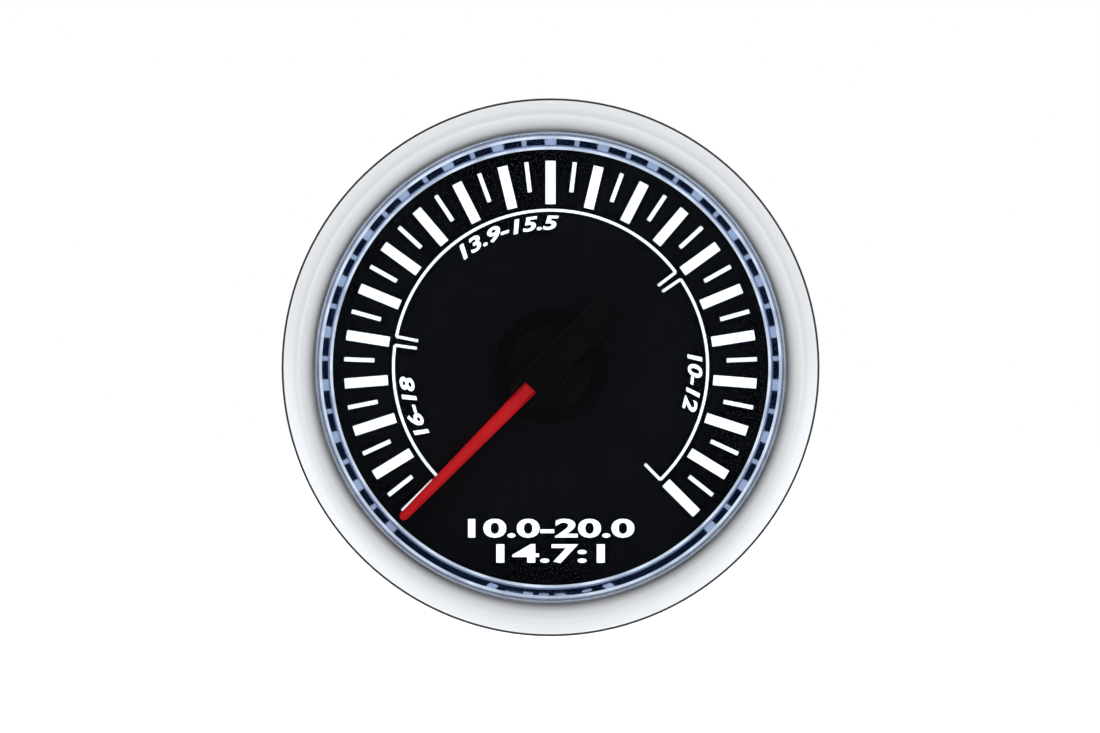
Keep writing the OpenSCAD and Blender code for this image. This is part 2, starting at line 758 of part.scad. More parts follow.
module middle_wheel() {
    pinion_z = output_wheel_z - pinion_over;
    pinion_turn = 90 + 180 / middle_pinion_teeth;
    color("wheat") stand() at_middle() difference() {
        union() {
            translate([0, 0, pinion_z]) rotate([0, 0, pinion_turn])
                gear(middle_pinion_teeth, pinion_tooth_shares, wheel_t + 2 * pinion_over);
            translate([0, 0, middle_wheel_z]) cylinder(r = middle_hub_r, h = pinion_z - middle_wheel_z);
            translate([0, 0, middle_wheel_z]) rotate([0, 0, -90])
                gear(middle_teeth, wheel_tooth_shares, wheel_t);
        }
        translate([0, 0, middle_wheel_z - cut]) cylinder(r = middle_arbor_r + fit_gap / 2, h = motor_h);
    }
}

module middle_arbor() {
    low = motor_in_low - bearing_depth + fit_gap;
    top = motor_in_top + bearing_depth - fit_gap;
    color("lightsteelblue") stand() at_middle() translate([0, 0, low])
        cylinder(r = middle_arbor_r, h = top - low);
}

module rotor_pinion() {
    low = motor_in_low - bearing_depth + fit_gap;
    top = motor_in_top + bearing_depth - fit_gap;
    color("goldenrod") stand() at_rotor() {
        translate([0, 0, low]) cylinder(r = rotor_arbor_r, h = top - low);
        translate([0, 0, middle_wheel_z - pinion_over])
            rotate([0, 0, 90 + 180 / rotor_teeth])
                gear(rotor_teeth, pinion_tooth_shares, wheel_t + 2 * pinion_over);
    }
}

module rotor_magnet() {
    magnet_z = stator_z + stator_t / 2 - magnet_h / 2;
    color([0.25, 0.25, 0.27]) stand() at_rotor() translate([0, 0, magnet_z]) difference() {
        union() {
            cylinder(r = magnet_r, h = magnet_h);
            translate([0, 0, magnet_h]) cylinder(r = magnet_collar_r, h = magnet_collar_h);
        }
        translate([0, 0, -cut]) cylinder(r = rotor_arbor_r + fit_gap / 2, h = motor_h);
    }
}

module stator_plate() {
    color("lightslategray") stand() translate([0, 0, stator_z]) difference() {
        union() {
            at_rotor() cylinder(r = stator_ring_r, h = stator_t);
            translate([-coil_x - leg_w / 2, rotor_y - arm_w / 2, 0])
                cube([2 * coil_x + leg_w, arm_w, stator_t]);
            for (x = [-coil_x, coil_x]) translate([x - leg_w / 2, rotor_y - arm_w / 2, 0])
                cube([leg_w, yoke_y + yoke_w - rotor_y + arm_w / 2, stator_t]);
        }
        at_rotor() translate([0, 0, -cut]) cylinder(r = stator_hole_r, h = stator_t + 2 * cut);
    }
}

module stator_yoke() {
    color("slategray") stand() translate([-coil_x - leg_w / 2, yoke_y, stator_z + stator_t])
        cube([2 * coil_x + leg_w, yoke_w, stator_t]);
}

// Places a coil along +Y on each leg, with z = 0 in the middle of the stator plate
module at_coils() {
    for (x = [-coil_x, coil_x]) translate([x, bobbin_low, stator_z + stator_t / 2]) children();
}

// Places of the four coil terminals, the outer one on each block nearer to its coil
module at_terminals() {
    for (side = [-1, 1], step = [-1, 1])
        translate([side * (coil_x - terminal_in) + step * terminal_step,
            terminal_block_y + terminal_block_l * terminal_rise_shares[side == step ? 0 : 1], 0])
                children();
}

module coil_bobbins() {
    long = bobbin_top - bobbin_low;
    color("ivory") stand() {
        at_coils() difference() {
            rotate([-90, 0, 0]) {
                cylinder(r = bobbin_core_r, h = long);
                cylinder(r = coil_r, h = bobbin_flange_t);
                translate([0, 0, long - bobbin_flange_t]) cylinder(r = coil_r, h = bobbin_flange_t);
            }
            translate([-leg_w / 2 - fit_gap, -cut, -stator_t / 2 - fit_gap])
                cube([leg_w + 2 * fit_gap, long + 2 * cut, stator_t + 2 * fit_gap]);
        }
        for (side = [-1, 1]) difference() {
            translate([side * (coil_x - terminal_in) - terminal_block_w / 2, terminal_block_y, stator_z])
                cube([terminal_block_w, terminal_block_l, terminal_block_h]);
            translate([0, 0, stator_z + terminal_block_h - terminal_reach]) at_terminals()
                cylinder(r = terminal_r + fit_gap / 2, h = terminal_block_h);
        }
    }
}

module coil_windings() {
    long = bobbin_top - bobbin_low - 2 * bobbin_flange_t;
    color("peru") stand() at_coils() translate([0, bobbin_flange_t + fit_gap / 2, 0])
        rotate([-90, 0, 0])
            ring(coil_r - coil_tuck, bobbin_core_r + fit_gap / 2, long - fit_gap);
}

module coil_terminals() {
    low = stator_z + terminal_block_h - terminal_reach;
    color("gold") stand() translate([0, 0, low]) at_terminals()
        cylinder(r = terminal_r, h = lamp_board_z + terminal_up - low);
}

// The motor's outline, drawn in by inset
module motor_block(inset, h) {
    round_plate(-motor_x + inset, motor_x - inset, motor_y_low + inset, motor_y_top - inset,
        motor_corner_r - inset, h);
}

// Bosses that hold the three arbors, and the holes in them
module bearing_bosses(z, h) {
    translate([0, 0, z]) {
        cylinder(r = shaft_r + bearing_wall, h = h);
        at_middle() cylinder(r = middle_arbor_r + bearing_wall, h = h);
        at_rotor() cylinder(r = rotor_arbor_r + bearing_wall, h = h);
    }
}

module bearing_holes(z, h) {
    translate([0, 0, z]) {
        cylinder(r = shaft_r + run_gap, h = h);
        at_middle() cylinder(r = middle_arbor_r + run_gap, h = h);
        at_rotor() cylinder(r = rotor_arbor_r + run_gap, h = h);
    }
}

module motor_front_cover() {
    boss_h = motor_room / 2 - fit_gap;
    color([0.2, 0.2, 0.22]) stand() difference() {
        union() {
            difference() {
                translate([0, 0, motor_split]) motor_block(0, motor_top - motor_split);
                translate([0, 0, motor_split - cut])
                    motor_block(motor_wall, motor_in_top - motor_split + cut);
            }
            bearing_bosses(motor_in_top - boss_h, boss_h + fit_gap);
        }
        bearing_holes(motor_in_top - motor_room, motor_room + bearing_depth);
        translate([0, 0, motor_in_top - motor_room]) cylinder(r = shaft_r + run_gap, h = motor_h);
        translate([0, 0, motor_in_top - cut]) at_terminals()
            cylinder(r = terminal_r + pin_hole_play, h = motor_wall + 2 * cut);
    }
}

module motor_rear_cover() {
    color([0.24, 0.24, 0.26]) stand() difference() {
        translate([0, 0, motor_low]) motor_block(0, motor_split - motor_low);
        translate([0, 0, motor_in_low]) motor_block(motor_wall, motor_h);
        bearing_holes(motor_in_low - bearing_depth, motor_h);
    }
}

// Main board and sockets

module main_board() {
    color("darkgreen") stand() translate([0, 0, main_board_low]) difference() {
        cylinder(r = main_board_r, h = board_t);
        for (a = post_angles) rotate([0, 0, a]) translate([post_ring_r, 0, -cut])
            cylinder(r = screw_d / 2 + screw_play, h = board_t + 2 * cut);
        translate([0, link_y, -cut]) row(link_pins_n, link_pitch)
            cylinder(r = link_pin_d / 2 + pin_hole_play, h = board_t + 2 * cut);
        translate([0, socket_y, -cut]) row(power_pins_n, pin_pitch)
            cylinder(r = pin_d / 2 + pin_hole_play, h = board_t + 2 * cut);
        translate([0, -socket_y, -cut]) row(sensor_pins_n, pin_pitch)
            cylinder(r = pin_d / 2 + pin_hole_play, h = board_t + 2 * cut);
    }
}

module main_board_screws() {
    color("gainsboro") stand() for (a = post_angles)
        rotate([0, 0, a]) translate([post_ring_r, 0, main_board_z]) mirror([0, 0, 1])
            small_screw(board_t + post_bite - screw_play);
}

module controller_chip() {
    color([0.15, 0.15, 0.16]) stand() translate([-chip_w / 2, chip_y - chip_w / 2, main_board_z])
        cube([chip_w, chip_w, chip_h]);
}

module voltage_regulator() {
    at = main_board_r * regulator_shares;
    color([0.17, 0.17, 0.18]) stand()
        translate([at[0] - regulator_l / 2, at[1] - regulator_w / 2, main_board_z])
            cube([regulator_l, regulator_w, regulator_h]);
}

module filter_capacitors() {
    color("silver") stand() for (p = capacitor_shares)
        translate([main_board_r * p[0], main_board_r * p[1], main_board_z])
            cylinder(r = capacitor_d / 2, h = capacitor_h);
}

module surface_parts() {
    color("saddlebrown") stand() for (side = [-1, 1])
        translate([0, side * (socket_y + small_part_gap) - small_part[1] / 2, main_board_z])
            row(small_parts_n, small_part_pitch) translate([-small_part[0] / 2, 0, 0]) cube(small_part);
}

module board_link_base() {
    long = link_pins_n * link_pitch;
    color([0.12, 0.12, 0.13]) stand() difference() {
        translate([-long / 2, link_y - link_base_w / 2, main_board_z])
            cube([long, link_base_w, link_base_h]);
        translate([0, link_y, main_board_z - cut]) row(link_pins_n, link_pitch)
            cylinder(r = link_pin_d / 2 + pin_hole_play, h = link_base_h + 2 * cut);
    }
}

module board_link_pins() {
    low = main_board_low - link_solder;
    color("gold") stand() translate([0, link_y, low]) row(link_pins_n, link_pitch)
        cylinder(r = link_pin_d / 2, h = lamp_board_z + link_solder - low);
}

// Open topped socket that stands behind the main board, with a keyway in one wall
module socket(w, y, pins) {
    out_w = w + 2 * socket_wall;
    out_h = socket_gap_h + 2 * socket_wall;
    deep = main_board_low - socket_mouth;
    translate([0, y, socket_mouth]) difference() {
        translate([-out_w / 2, -out_h / 2, 0]) cube([out_w, out_h, deep]);
        translate([-w / 2, -socket_gap_h / 2, -cut])
            cube([w, socket_gap_h, deep - socket_floor_t + cut]);
        translate([-key_w / 2, socket_gap_h / 2 - cut, -cut])
            cube([key_w, socket_wall + 2 * cut, key_depth + cut]);
        translate([0, 0, deep - socket_floor_t - cut]) row(pins, pin_pitch)
            cylinder(r = pin_d / 2 + pin_hole_play, h = socket_floor_t + 2 * cut);
    }
}

module socket_pins(y, pins) {
    translate([0, y, pin_tip_z]) row(pins, pin_pitch)
        cylinder(r = pin_d / 2, h = main_board_z + pin_up - pin_tip_z);
}

module power_socket() { color("ivory") stand() socket(power_socket_w, socket_y, power_pins_n); }
module sensor_socket() { color("ivory") stand() socket(sensor_socket_w, -socket_y, sensor_pins_n); }
module power_pins() { color("gold") stand() socket_pins(socket_y, power_pins_n); }
module sensor_pins() { color("gold") stand() socket_pins(-socket_y, sensor_pins_n); }

bezel();
lens();
lens_gasket();
front_cup();
body_can();
rear_cover();
rear_cover_screws();
mounting_studs();
halo_ring();
dial_face();
light_guide();
light_box();
lamp_board();
dial_lamps();
pointer_lamps();
lamp_board_screws();
pointer_blade();
pointer_hub();
pointer_cap();
output_shaft();
output_wheel();
middle_wheel();
middle_arbor();
rotor_pinion();
rotor_magnet();
stator_plate();
stator_yoke();
coil_bobbins();
coil_windings();
coil_terminals();
motor_front_cover();
motor_rear_cover();
main_board();
main_board_screws();
controller_chip();
voltage_regulator();
filter_capacitors();
surface_parts();
board_link_base();
board_link_pins();
power_socket();
power_pins();
sensor_socket();
sensor_pins();
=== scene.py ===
"""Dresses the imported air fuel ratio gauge: smooth outer pieces, dial print, finishes, studio.

Profiles are written in millimetres in the gauge's own frame: the axis along +Z towards the
driver, 12 o'clock along +Y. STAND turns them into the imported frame, in metres.
"""

import json
import math

import bmesh
import bpy
from mathutils import Matrix, Vector


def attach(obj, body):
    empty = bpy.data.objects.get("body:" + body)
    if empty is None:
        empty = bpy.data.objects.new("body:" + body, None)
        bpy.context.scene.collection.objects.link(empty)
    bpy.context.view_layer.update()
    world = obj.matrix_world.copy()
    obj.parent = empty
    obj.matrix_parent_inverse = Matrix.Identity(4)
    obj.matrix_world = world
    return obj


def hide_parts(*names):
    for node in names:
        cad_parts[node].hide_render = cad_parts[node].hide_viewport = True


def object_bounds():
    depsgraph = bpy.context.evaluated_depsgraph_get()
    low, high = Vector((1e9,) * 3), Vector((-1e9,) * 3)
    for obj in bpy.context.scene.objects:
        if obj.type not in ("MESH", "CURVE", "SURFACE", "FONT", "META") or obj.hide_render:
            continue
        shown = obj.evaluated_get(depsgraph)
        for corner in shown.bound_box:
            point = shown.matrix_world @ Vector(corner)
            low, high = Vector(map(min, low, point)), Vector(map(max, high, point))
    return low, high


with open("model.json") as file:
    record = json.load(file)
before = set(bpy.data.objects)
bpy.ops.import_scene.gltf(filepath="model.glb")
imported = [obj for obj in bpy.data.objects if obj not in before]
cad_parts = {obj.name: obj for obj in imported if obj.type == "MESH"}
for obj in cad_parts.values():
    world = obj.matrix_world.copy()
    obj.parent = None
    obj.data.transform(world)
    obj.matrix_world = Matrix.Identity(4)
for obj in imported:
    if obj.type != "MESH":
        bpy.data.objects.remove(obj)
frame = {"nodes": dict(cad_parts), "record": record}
CAD_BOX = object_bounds()

bl_info = {
    "name": "Air fuel ratio gauge",
    "version": (1, 0, 0),
    "blender": (4, 5, 0),
    "location": "View3D > Sidebar > Gauge",
    "description": "Dresses the packed gauge with smooth pieces, dial print and finishes",
    "category": "Object",
}

MM = 0.001
FULL_TURN = 2 * math.pi
STAND = Matrix.Rotation(math.radians(90), 4, "X") @ Matrix.Scale(MM, 4)
ROUND_STEPS = 256

# Places on the gauge, and the widest gap that is closed as a seam, in millimetres
DIAL_TOP = 2.5
PRINT_H = 0.03
WINDOW_R = 25.8
SEAM_GAP = 0.0005


class GaugeSizes(bpy.types.PropertyGroup):
    """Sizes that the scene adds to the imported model"""

    edge_softness: bpy.props.FloatProperty(
        name="Edge softness",
        description="Widest round on moulded edges, less where a piece has short edges",
        default=0.12 * MM, unit="LENGTH", subtype="DISTANCE")
    thread_pitch: bpy.props.FloatProperty(
        name="Thread pitch", description="Pitch of the thread on the mounting studs",
        default=0.7 * MM, unit="LENGTH", subtype="DISTANCE")
    zone_number_h: bpy.props.FloatProperty(
        name="Zone number height", description="Height of the numbers along the dial's arcs",
        default=1.62 * MM, unit="LENGTH", subtype="DISTANCE")
    label_number_h: bpy.props.FloatProperty(
        name="Label number height", description="Height of the numbers at the foot of the dial",
        default=2.1 * MM, unit="LENGTH", subtype="DISTANCE")
    camera_distance: bpy.props.FloatProperty(
        name="Camera distance", description="Distance of the camera in front of the panel",
        default=0.5, unit="LENGTH", subtype="DISTANCE")
    focal_length: bpy.props.FloatProperty(
        name="Focal length", description="Focal length in millimetres on a 36 mm sensor",
        default=146.4)
    floor_gap: bpy.props.FloatProperty(
        name="Floor gap", description="Distance of the studio floor below the gauge",
        default=0.03, unit="LENGTH", subtype="DISTANCE")


class GaugeColours(bpy.types.PropertyGroup):
    """Colours that a user would change"""

    bezel: bpy.props.FloatVectorProperty(
        name="Bezel", description="Satin paint of the bezel", subtype="COLOR", size=3,
        min=0, max=1, default=(0.80, 0.815, 0.84))
    glow: bpy.props.FloatVectorProperty(
        name="Dial light", description="Light that shines through the dial", subtype="COLOR",
        size=3, min=0, max=1, default=(0.86, 0.95, 1.0))
    halo: bpy.props.FloatVectorProperty(
        name="Halo light", description="Light in the two lines of the halo ring",
        subtype="COLOR", size=3, min=0, max=1, default=(0.23, 0.28, 0.39))
    pointer: bpy.props.FloatVectorProperty(
        name="Pointer", description="Lit red of the pointer", subtype="COLOR", size=3,
        min=0, max=1, default=(0.47, 0.006, 0.008))
    dial: bpy.props.FloatVectorProperty(
        name="Dial", description="Black film of the dial", subtype="COLOR", size=3,
        min=0, max=1, default=(0.0014, 0.0018, 0.0032))


def sizes():
    return bpy.context.scene.gauge_sizes


def colours():
    return bpy.context.scene.gauge_colours


# Shader maths


class Value:
    """A shader socket on which maths is written as Python expressions"""

    def __init__(self, finish, socket):
        self.finish = finish
        self.socket = socket

    def maths(self, operation, first, second):
        return self.finish.maths_of(operation, first, second)

    def __add__(self, other):
        return self.maths("ADD", self, other)

    def __sub__(self, other):
        return self.maths("SUBTRACT", self, other)

    def __rsub__(self, other):
        return self.maths("SUBTRACT", other, self)

    def __mul__(self, other):
        return self.maths("MULTIPLY", self, other)

    def __truediv__(self, other):
        return self.maths("DIVIDE", self, other)

    def __pow__(self, other):
        return self.maths("POWER", self, other)

    def __gt__(self, other):
        return self.maths("GREATER_THAN", self, other)

    def __lt__(self, other):
        return self.maths("LESS_THAN", self, other)

    __radd__ = __add__
    __rmul__ = __mul__


class Finish:
    """One material or world, built from nodes, on Object coordinates unless place is set"""

    def __init__(self, name, world=None):
        self.material = world or bpy.data.materials.new(name)
        self.material.use_nodes = True
        self.tree = self.material.node_tree
        self.tree.nodes.clear()
        self.output = "ShaderNodeOutputWorld" if world else "ShaderNodeOutputMaterial"
        self.place = self.node("ShaderNodeTexCoord", {}, {}, "Object")

    def node(self, kind, settings, sockets, out=0):
        made = self.tree.nodes.new(kind)
        for key, value in settings.items():
            setattr(made, key, value)
        for key, value in sockets.items():
            if isinstance(value, Value):
                self.tree.links.new(value.socket, made.inputs[key])
            elif isinstance(value, (tuple, list)) and len(value) == 3 and (
                    made.inputs[key].type == "RGBA"):
                made.inputs[key].default_value = (*value, 1)
            else:
                made.inputs[key].default_value = value
        return Value(self, made.outputs[out])

    def maths_of(self, operation, first, second):
        return self.node("ShaderNodeMath", {"operation": operation}, {0: first, 1: second})

    def axis(self, name):
        return self.node("ShaderNodeSeparateXYZ", {}, {0: self.place}, name)

    def stretched(self, scale):
        """Object coordinates scaled along each axis"""
        return self.node("ShaderNodeMapping", {}, {"Vector": self.place, "Scale": scale})

    def noise(self, size, detail=2.0, place=None):
        """Noise with features of a size in metres, from 0 to 1"""
        return self.node("ShaderNodeTexNoise", {}, {
            "Vector": place or self.place, "Scale": 1 / size, "Detail": detail})

    def mix(self, factor, first, second):
        """A mix of two colours, which are the Mix node's inputs 6 and 7 and its output 2"""
        return self.node("ShaderNodeMix", {"data_type": "RGBA"},
                         {0: factor, 6: first, 7: second}, out=2)

    def bump(self, height, depth, strength=1.0):
        return self.node("ShaderNodeBump", {}, {
            "Height": height, "Distance": depth, "Strength": strength})

    def radius(self):
        """Distance from the gauge's axis in metres"""
        return (self.axis("X") ** 2 + self.axis("Z") ** 2) ** 0.5

    def surface(self, **sockets):
        names = {key.replace("_", " ").title().replace("Ior", "IOR"): value
                 for key, value in sockets.items()}
        shader = self.node("ShaderNodeBsdfPrincipled", {}, names)
        self.node_output(shader)
        return self.material

    def node_output(self, shader):
        output = self.tree.nodes.new(self.output)
        self.tree.links.new(shader.socket, output.inputs["Surface"])


def darker(colour, share):
    return tuple(channel * share for channel in colour)


def moulded(name, colour, roughness=0.5, grain=0.00012, depth=0.000012, gloss=0.5):
    """Moulded plastic with a fine grain and faint flow marks"""
    f = Finish(name)
    flow = f.noise(0.008, 3)
    fine = f.noise(grain, 2)
    return f.surface(
        base_color=f.mix(flow, darker(colour, 0.85), darker(colour, 1.15)),
        roughness=roughness - 0.06 + 0.12 * flow, specular_ior_level=gloss,
        normal=f.bump(fine, depth, 0.6))


def brushed(name, colour, roughness=0.3, along="Y"):
    """Drawn or turned metal with fine lines"""
    f = Finish(name)
    scale = {"X": (1, 25, 25), "Y": (25, 1, 25), "Z": (25, 25, 1)}[along]
    lines = f.noise(0.004, 4, f.stretched(scale))
    return f.surface(
        base_color=f.mix(lines, darker(colour, 0.82), colour), metallic=1.0,
        roughness=roughness - 0.08 + 0.16 * lines, normal=f.bump(lines, 0.000004, 0.5))


def satin_paint(name, colour):
    """Silver paint: fine flakes under a satin lacquer, with painted shade darkening it towards the
    window
    """
    f = Finish(name)
    flakes = f.node("ShaderNodeTexVoronoi", {}, {"Vector": f.place, "Scale": 9000.0}, "Distance")
    cloud = f.noise(0.015, 3)
    # Painted shade: the base colour darkens over the inner slope towards the window, down to 40 %
    # of the paint
    painted_shade_w, painted_shade_share = 2.6 * MM, 0.95
    rim = f.maths_of("MAXIMUM", 1.0 - (f.radius() - WINDOW_R * MM) / painted_shade_w, 0.0)
    paint = f.mix(flakes * 0.5 + cloud * 0.3, darker(colour, 0.93), colour)
    return f.surface(
        base_color=f.mix(rim * painted_shade_share, paint, darker(colour, 0.4)),
        metallic=0.8, roughness=0.44 + 0.05 * cloud,
        normal=f.bump(f.noise(0.00018, 2), 0.000004, 0.35))


def solder_mask(name, colour):
    """Circuit board lacquer over faint copper tracks"""
    f = Finish(name)
    across = f.node("ShaderNodeTexWave", {"bands_direction": "X"}, {
        "Vector": f.place, "Scale": 260.0, "Distortion": 2.5, "Detail": 1.0})
    up = f.node("ShaderNodeTexWave", {"bands_direction": "Z"}, {
        "Vector": f.place, "Scale": 210.0, "Distortion": 2.0, "Detail": 1.0})
    tracks = (across > 0.72) * (up > 0.3)
    return f.surface(
        base_color=f.mix(tracks, colour, (0.04, 0.26, 0.11)),
        roughness=0.32 + 0.1 * f.noise(0.002), normal=f.bump(tracks, 0.00002, 0.5))


def wound(name, colour):
    """Enamelled wire wound in close turns, with painted shade darkening the grooves between them
    """
    f = Finish(name)
    turns = f.node("ShaderNodeTexWave", {"bands_direction": "Z", "wave_profile": "SIN"}, {
        "Vector": f.place, "Scale": 1600.0, "Distortion": 0.3})
    # Painted shade: the base colour falls to 35 % in the grooves between the turns
    return f.surface(
        base_color=f.mix(turns, darker(colour, 0.35), colour), metallic=0.9,
        roughness=0.28, normal=f.bump(turns, 0.00004, 0.8))


def lamp_resin(name, colour, glow):
    """Clear lamp resin, a little cloudy, lit throughout"""
    f = Finish(name)
    cloud = f.noise(0.0006, 2)
    return f.surface(
        base_color=f.mix(cloud, darker(colour, 0.8), colour), roughness=0.2 + 0.1 * cloud,
        emission_color=f.mix(cloud, darker(glow, 0.6), glow), emission_strength=1.0)


def lit_opal(name, colour, strength):
    """Opal plastic lit from behind, a little uneven between the lamps"""
    f = Finish(name)
    uneven = f.noise(0.006, 1)
    return f.surface(
        base_color=(0.8, 0.82, 0.84), roughness=0.4,
        emission_color=f.mix(uneven, darker(colour, 0.93), colour), emission_strength=strength)


def dial_film(name, colour):
    """Black printed film with a very fine screen texture"""
    f = Finish(name)
    fine = f.noise(0.00025, 2)
    cloud = f.noise(0.009, 2)
    return f.surface(
        base_color=f.mix(cloud, darker(colour, 0.7), darker(colour, 1.3)),
        roughness=0.5 + 0.15 * fine, specular_ior_level=0.02, normal=f.bump(fine, 0.000004, 0.3))


def halo_plastic(name, line_colour):
    """Clear ring, metallised on its cone, with a lit lip and a lit edge whose glow carries painted
    white glints
    """
    f = Finish(name)
    lip_r, edge_inner, edge_outer, wall_r = 24.38 * MM, 25.22 * MM, 25.52 * MM, 25.6 * MM
    lines_low = 2.6 * MM
    r = f.radius()
    lip = r < lip_r
    edge = (r > edge_inner) * (r < edge_outer)
    lines = (lip + edge) * (f.axis("Y") < -lines_low)
    ripple = f.noise(0.0009, 2)
    # The lines' blue glow is the ring's own light; the white patches mixed into it are painted
    # glints
    painted_glints = f.noise(0.0035, 3)
    lit = f.mix(painted_glints * painted_glints * 2.6, darker(line_colour, 0.55), (0.60, 0.65, 0.72))
    ring = f.mix(r > wall_r, (0.22, 0.26, 0.37), (0.32, 0.34, 0.39))
    return f.surface(
        base_color=f.mix(lines, ring, (0.25, 0.29, 0.36)),
        metallic=1.0 - lines, roughness=0.04 + 0.09 * ripple + 0.3 * lines,
        emission_color=f.mix(lines, (0.001, 0.004, 0.016), lit), emission_strength=1.0)


def smoked_glass(name):
    """Flat clear window, faintly tinted, with faint wipes in its roughness"""
    f = Finish(name)
    wipe = f.noise(0.012, 2)
    return f.surface(
        base_color=(0.92, 0.95, 0.98), roughness=0.012 * wipe, transmission_weight=1.0,
        ior=1.06)


def lit_pointer(name, colour):
    """Red light pipe, lit from within, a little uneven in colour and glow"""
    f = Finish(name)
    cloud = f.noise(0.003, 2)
    return f.surface(
        base_color=f.mix(cloud, darker(colour, 0.5), darker(colour, 0.7)), roughness=0.35,
        specular_ior_level=0.08,
        emission_color=f.mix(cloud, darker(colour, 0.40), darker(colour, 0.53)),
        emission_strength=1.0, normal=f.bump(f.noise(0.0003), 0.000004, 0.3))


def finishes():
    """All finishes by the record's slot names"""
    c = colours()
    return {
        "satin_silver": satin_paint("satin_silver", tuple(c.bezel)),
        "smoked_lens": smoked_glass("smoked_lens"),
        "black_rubber": moulded("black_rubber", (0.02, 0.02, 0.021), 0.8, 0.0002),
        "black_plastic": moulded("black_plastic", (0.012, 0.012, 0.013), 0.5, 0.00025, 0.00002,
                                 0.4),
        "halo_clear": halo_plastic("halo_clear", tuple(c.halo)),
        "dial_black": dial_film("dial_black", tuple(c.dial)),
        "lit_white": lit_opal("lit_white", tuple(c.glow), 0.9),
        "white_plastic": moulded("white_plastic", (0.75, 0.75, 0.73), 0.55),
        "board_green": solder_mask("board_green", (0.018, 0.15, 0.06)),
        "lamp_amber": lamp_resin("lamp_amber", (0.75, 0.66, 0.32), (0.5, 0.5, 0.45)),
        "lamp_red": lamp_resin("lamp_red", (0.7, 0.07, 0.05), (0.6, 0.03, 0.02)),
        "pointer_red": lit_pointer("pointer_red", tuple(c.pointer)),
        "pointer_black": moulded("pointer_black", (0.0005, 0.0007, 0.0011), 0.42, 0.0002, 0.000006,
                                 0.02),
        "gear_ivory": moulded("gear_ivory", (0.72, 0.67, 0.54), 0.45, 0.0003),
        "bright_steel": brushed("bright_steel", (0.62, 0.62, 0.63), 0.22),
        "zinc_steel": brushed("zinc_steel", (0.66, 0.67, 0.69), 0.32),
        "core_steel": brushed("core_steel", (0.34, 0.36, 0.39), 0.42, "X"),
        "pinion_brass": brushed("pinion_brass", (0.78, 0.57, 0.22), 0.28),
        "magnet_grey": moulded("magnet_grey", (0.07, 0.07, 0.075), 0.6, 0.0001, 0.00002),
        "copper_wire": wound("copper_wire", (0.62, 0.24, 0.10)),
        "pin_gold": brushed("pin_gold", (0.86, 0.64, 0.28), 0.25),
        "motor_black": moulded("motor_black", (0.03, 0.03, 0.034), 0.5),
        "chip_black": moulded("chip_black", (0.016, 0.016, 0.018), 0.6, 0.0001),
        "can_silver": brushed("can_silver", (0.74, 0.75, 0.77), 0.3),
        "part_brown": moulded("part_brown", (0.16, 0.085, 0.05), 0.5, 0.0002),
        "socket_ivory": moulded("socket_ivory", (0.74, 0.70, 0.58), 0.5, 0.0003),
    }


# Making pieces


def lathe(bm, profile):
    """Turns a closed loop of (radius, height) points into a ring"""
    points = [bm.verts.new((r, 0, z)) for r, z in profile]
    loop = [bm.edges.new(pair) for pair in zip(points, points[1:] + points[:1])]
    bmesh.ops.spin(bm, geom=points + loop, axis=(0, 0, 1), cent=(0, 0, 0), angle=FULL_TURN,
                   steps=ROUND_STEPS, use_merge=True, use_duplicate=False)


def arc(centre, rx, ry, start, end, steps):
    """Points of an elliptic arc in a profile, angles in degrees"""
    angles = [math.radians(start + (end - start) * i / steps) for i in range(steps + 1)]
    return [(centre[0] + rx * math.cos(a), centre[1] + ry * math.sin(a)) for a in angles]


def merge(bm, gap):
    """Closes poles, seams and slivers, and turns the faces outwards"""
    bmesh.ops.remove_doubles(bm, verts=bm.verts, dist=gap)
    bmesh.ops.dissolve_degenerate(bm, edges=bm.edges, dist=gap)
    bmesh.ops.recalc_face_normals(bm, faces=bm.faces)


def soften(bm, width, angle=35.0, segments=2):
    """Rounds every edge that is sharper than an angle"""
    limit = math.radians(angle)
    sharp = [e for e in bm.edges if e.is_manifold and e.calc_face_angle(0) > limit]
    bmesh.ops.bevel(bm, geom=sharp, offset=width, offset_type="OFFSET", affect="EDGES",
                    segments=segments, profile=0.5, material=-1, clamp_overlap=True)


def shade(bm, angle=32.0):
    """Shades the faces smooth, with creases at edges sharper than an angle"""
    limit = math.radians(angle)
    for face in bm.faces:
        face.smooth = True
    for edge in bm.edges:
        edge.smooth = edge.is_manifold and edge.calc_face_angle(0) < limit


def finish_piece(bm, name, body, material, nodes=()):
    """Makes the mesh an object that rides on a body and stands for its CAD nodes"""
    mesh = bpy.data.meshes.new(name)
    bm.to_mesh(mesh)
    bm.free()
    made = bpy.data.objects.new(name, mesh)
    bpy.context.scene.collection.objects.link(made)
    mesh.materials.append(material)
    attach(made, body)
    if nodes:
        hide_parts(*nodes)
    return made


def turned(name, profile, body, slot, nodes, softness=0.0):
    """A turned piece from a profile in millimetres"""
    bm = bmesh.new()
    lathe(bm, profile)
    merge(bm, SEAM_GAP)
    if softness:
        soften(bm, softness)
    shade(bm)
    bmesh.ops.transform(bm, matrix=STAND, verts=bm.verts)
    return finish_piece(bm, name, body, MATERIALS[slot], nodes)


def body_of(node):
    bodies = frame["record"]["behaviour"]["bodies"]
    return next(body for body, members in bodies.items() if node in members)


def slot_of(node):
    return next(part["material_slot"] for part in frame["record"]["subparts"]
                if part["node"] == node)


def drop_inner_faces(bm):
    """Deletes faces whose corners all lie on edges that more than two faces share"""
    rim = {vert for edge in bm.edges if len(edge.link_faces) > 2 for vert in edge.verts}
    inner = [face for face in bm.faces if rim.issuperset(face.verts)]
    bmesh.ops.delete(bm, geom=inner, context="FACES")


